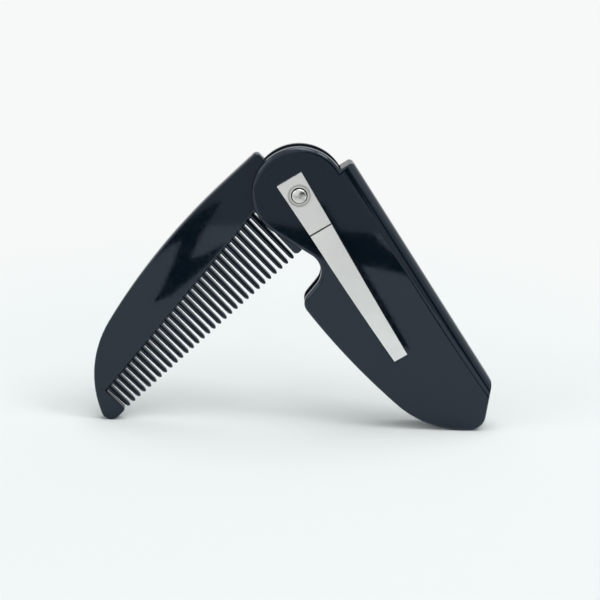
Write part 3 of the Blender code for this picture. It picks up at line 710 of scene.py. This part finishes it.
washer_ring = revolved("washer_ring", [
    (SHANK_HOLE, front), (WASHER_RADIUS, front), (WASHER_RADIUS, front + WASHER_THICKNESS - WASHER_EDGE),
    (WASHER_RADIUS - WASHER_EDGE, front + WASHER_THICKNESS), (SHANK_HOLE, front + WASHER_THICKNESS)])
plated = satin_steel("bright_plated_steel", "E2E2DF", "CFCFCB", 0.16, 0.26, 0.2)
dull_plated = satin_steel("washer_plated_steel", "CFCFCB", "B9BAB6", 0.25, 0.35, 0.3)
for piece, cad_node, slot, finish in ((rivet_body, "rivet", "rivet_steel", plated),
                                      (washer_ring, "rivet_washer", "washer_steel", dull_plated)):
    smooth(piece, SHARP_ROUND)
    piece.data.transform(HANDLE_PLACE)
    piece.data.materials.clear()
    piece.data.materials.append(finish)
    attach(piece, "handle")
    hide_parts(cad_node)


# Floor and light: a plain pale sheet under and behind the part, lamps above, in front, left and right, and
# cards that only the part's gloss shows, since the real gloss mirrors dark things outside the view; one
# of them paints the shade line along the clip as a reflection.
PAPER = "F6F9F8"
BLACK = "000000"
TABLE_GREY = "BCBCBC"
FLOOR_REACH = 2.5
PLAIN_FROM = 0.10                        # from here on the sheet goes over to evenly lit
PLAIN_TO = 0.24
LAYER = 0.1                              # millimetres from one lying card up to the next
FLAG_AWAY = 0.50                         # from the part to the standing black cards
GREY_AWAY = 0.52
GREY_STEP = 13                           # degrees that one standing grey card takes up

world = bpy.data.worlds.new("studio")
scene.world = world
world.use_nodes = True
tree = world.node_tree
tree.nodes.clear()


def seen_ray(tree):
    """1 for what is seen directly, in a reflection or through a clear thing, 0 for what lights others."""
    rays = node(tree, 'ShaderNodeLightPath')
    either = node(tree, 'ShaderNodeMath',
                  {0: rays.outputs["Is Camera Ray"], 1: rays.outputs["Is Glossy Ray"]}, operation='MAXIMUM')
    return node(tree, 'ShaderNodeMath', {0: either.outputs[0], 1: rays.outputs["Is Transmission Ray"]},
                operation='MAXIMUM').outputs[0]


shown = node(tree, 'ShaderNodeBackground', {"Color": linear(PAPER), "Strength": 1.0})
given = node(tree, 'ShaderNodeBackground', {"Color": linear("F4F7FA"), "Strength": 0.44})
mixed = node(tree, 'ShaderNodeMixShader', {0: seen_ray(tree), 1: given.outputs[0], 2: shown.outputs[0]})
node(tree, 'ShaderNodeOutputWorld', {"Surface": mixed.outputs[0]})

builder = bmesh.new()
bmesh.ops.create_grid(builder, x_segments=1, y_segments=1, size=FLOOR_REACH)
floor = finished("floor", builder)
# matt paper: no gloss at all, so that it takes only soft shadows; far from the part it is one even white
paper = empty_material("matt_white_paper")
tree = paper.node_tree
place = node(tree, 'ShaderNodeTexCoord').outputs["Object"]
away = node(tree, 'ShaderNodeVectorMath', {0: place}, operation='LENGTH')
plain = node(tree, 'ShaderNodeMapRange', {"Value": away.outputs["Value"], "From Min": PLAIN_FROM,
                                          "From Max": PLAIN_TO, "To Min": 0.0, "To Max": 1.0},
             interpolation_type='SMOOTHSTEP')
plain_seen = node(tree, 'ShaderNodeMath', {0: plain.outputs["Result"], 1: seen_ray(tree)},
                  operation='MULTIPLY')
sheet = node(tree, 'ShaderNodeBsdfDiffuse', {"Color": linear("EEF2F1"), "Roughness": 0.6})
even = node(tree, 'ShaderNodeEmission', {"Color": linear(PAPER), "Strength": 1.0})
mixed = node(tree, 'ShaderNodeMixShader', {0: plain_seen.outputs[0], 1: sheet.outputs[0],
                                           2: even.outputs[0]})
node(tree, 'ShaderNodeOutputMaterial', {"Surface": mixed.outputs[0]})
floor.data.materials.append(paper)


def card(name, shade, corners):
    """Grey or black card that glows evenly in its shade whatever the lamps do, and that only the part's
    gloss shows: it paints a reflection on the part.
    """
    builder = bmesh.new()
    builder.faces.new([builder.verts.new(corner) for corner in corners])
    piece = finished(name, builder)
    material = empty_material(name + "_card")
    glow = node(material.node_tree, 'ShaderNodeEmission', {"Color": linear(shade), "Strength": 1.0})
    node(material.node_tree, 'ShaderNodeOutputMaterial', {"Surface": glow.outputs[0]})
    piece.data.materials.append(material)
    piece.visible_camera = False
    piece.visible_diffuse = False
    piece.visible_transmission = False
    piece.visible_shadow = False


def lying(layer, corners):
    """Corners in this layer on the sheet, from (x, y) in millimetres."""
    return [Vector((x, y, layer * LAYER)) * MM for x, y in corners]


def standing(away, corners):
    """Corners at this distance, from (degrees to the right of the camera's side, height in millimetres)."""
    return [(*(heading(math.radians(angle - 90.0)) * away), height * MM) for angle, height in corners]


card("table", TABLE_GREY, lying(1, [(-400, -215), (400, -215), (400, -430), (-400, -430)]))
# the dark band across the case, and the lower edge of the hub
card("right_flag", BLACK, lying(2, [
    (-13, -228), (4, -219), (39, -214), (45, -187), (66, -187), (72, -156), (76, -113), (80, -82),
    (88, -55), (98, -30), (85, -30), (73, -68), (60, -104), (52, -150), (46, -157), (31, -166), (18, -170),
    (6, -184), (-6, -205)]))
# the pointed dark patches on the comb
card("left_flag", BLACK, lying(2, [
    (-34, -257), (-38, -221), (-41, -195), (-43, -165), (-38, -169), (-28, -188), (-35, -157), (-41, -137),
    (-48, -116), (-54, -108), (-52, -124), (-50, -160), (-49, -190), (-54, -180), (-58, -166), (-64, -144),
    (-61, -180), (-54, -206), (-44, -236), (-38, -252)]))
# painted shade: this black card is laid so that its reflection paints the dark line along the clip
card("clip_painted_shade_card", BLACK, lying(3, [
    (17.5, -262), (19.5, -247), (22.4, -228), (24.4, -212), (28.4, -182), (31.9, -159), (37.3, -119),
    (42.2, -80), (43.5, -70), (40, -75), (39, -83), (34, -119), (28, -159), (23, -192), (20, -211),
    (17, -232), (13, -262)]))
# the dark lines along the case's round back and along each tooth, and the grey beside them
card("low_flag", BLACK, standing(FLAG_AWAY, [(0, 0), (14, 0), (14, 92), (0, 92)]))
card("leaning_flag", BLACK, standing(FLAG_AWAY, [(44, 0), (62, 0), (37, 250), (31, 250)]))
card("teeth_flag", BLACK,
     standing(FLAG_AWAY, [(4, 50), (30, 50), (36, 120), (46, 138), (40, 250), (4, 250)]))
for start, height, shade in ((14, 130, TABLE_GREY), (27, 130, TABLE_GREY), (40, 330, TABLE_GREY),
                             (53, 200, "C4C4C4"), (66, 200, "D8D8D8")):
    end = start + GREY_STEP
    card("grey_card_%d" % start, shade,
         standing(GREY_AWAY, [(start, 0), (end, 0), (end, height), (start, height)]))

# name, place, what it points at and size, in metres, and power in watts
for name, lamp_place, aim, size, power in (
        ("lamp_above", (0.05, 0.05, 1.40), (0.0, 0.0, 0.0), 0.9, 8.6),
        ("lamp_front", (0.25, -0.60, 1.30), (0.0, 0.0, 0.0), 0.5, 1.6),
        ("lamp_left", (-1.40, -0.50, 0.80), (0.0, 0.0, 0.04), 0.8, 3.0),
        ("lamp_right", (0.80, -0.25, 1.15), (0.0, 0.0, 0.04), 0.4, 4.4)):
    lamp = bpy.data.objects.new(name, bpy.data.lights.new(name, 'AREA'))
    scene.collection.objects.link(lamp)
    lamp.data.shape = 'SQUARE'
    lamp.data.size = size
    lamp.data.energy = power
    lamp.location = lamp_place
    lamp.rotation_euler = (Vector(aim) - Vector(lamp_place)).to_track_quat('-Z', 'Y').to_euler()
